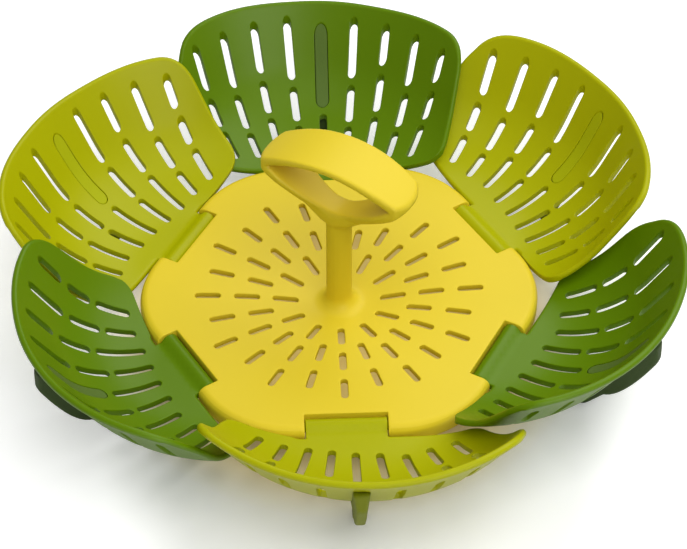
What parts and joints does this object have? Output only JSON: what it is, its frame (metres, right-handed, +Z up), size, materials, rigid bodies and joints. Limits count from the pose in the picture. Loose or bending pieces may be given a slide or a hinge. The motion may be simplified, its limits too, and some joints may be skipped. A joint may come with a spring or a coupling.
{
  "type": "folding steamer basket",
  "caption": "Folding steamer basket: slotted dish with a stem and loop handle, ringed by hinged, slotted petals that lap over each other, on soft fin feet.",
  "frame": {"origin": "on the surface the feet stand on, under the middle of the base plate", "axes": "+Z up along the handle's stem; petal 1 opens towards -Y"},
  "size_m": [0.2428, 0.2492, 0.0798],
  "materials": {
    "yellow_plastic": "matte moulded, fine texture",
    "dark_green_plastic": "satin moulded",
    "light_green_plastic": "satin moulded",
    "charcoal_silicone": "matte",
    "olive_silicone": "matte",
    "screw_steel": "bright"
  },
  "bodies": {
    "base": {"base_plate": "yellow_plastic", "handle": "yellow_plastic", "handle_screw": "screw_steel"},
    "petal_1": {"petal_1": "light_green_plastic", "foot_1": "olive_silicone"},
    "petal_2": {"petal_2": "dark_green_plastic", "foot_2": "charcoal_silicone"},
    "petal_3": {"petal_3": "light_green_plastic", "foot_3": "olive_silicone"},
    "petal_4": {"petal_4": "dark_green_plastic", "foot_4": "charcoal_silicone"},
    "petal_5": {"petal_5": "light_green_plastic", "foot_5": "olive_silicone"},
    "petal_6": {"petal_6": "dark_green_plastic", "foot_6": "charcoal_silicone"}
  },
  "joints": [
    {"name": "fold_1", "type": "hinge", "parent": "base", "child": "petal_1", "pos_m": [0, -0.063, 0.0092], "axis": [-1, 0, 0], "range_deg": [0, 55]},
    {"name": "fold_2", "type": "hinge", "parent": "base", "child": "petal_2", "pos_m": [0.05456, -0.0315, 0.0092], "axis": [-0.5, -0.866, 0], "range_deg": [0, 55]},
    {"name": "fold_3", "type": "hinge", "parent": "base", "child": "petal_3", "pos_m": [0.05456, 0.0315, 0.0092], "axis": [0.5, -0.866, 0], "range_deg": [0, 55]},
    {"name": "fold_4", "type": "hinge", "parent": "base", "child": "petal_4", "pos_m": [0, 0.063, 0.0092], "axis": [1, 0, 0], "range_deg": [0, 55]},
    {"name": "fold_5", "type": "hinge", "parent": "base", "child": "petal_5", "pos_m": [-0.05456, 0.0315, 0.0092], "axis": [0.5, 0.866, 0], "range_deg": [0, 55]},
    {"name": "fold_6", "type": "hinge", "parent": "base", "child": "petal_6", "pos_m": [-0.05456, -0.0315, 0.0092], "axis": [-0.5, 0.866, 0], "range_deg": [0, 55]}
  ],
  "couplings": [
    {"joint": "fold_2", "follows": "fold_1", "ratio": 1},
    {"joint": "fold_3", "follows": "fold_1", "ratio": 1},
    {"joint": "fold_4", "follows": "fold_1", "ratio": 1},
    {"joint": "fold_5", "follows": "fold_1", "ratio": 1},
    {"joint": "fold_6", "follows": "fold_1", "ratio": 1}
  ]
}
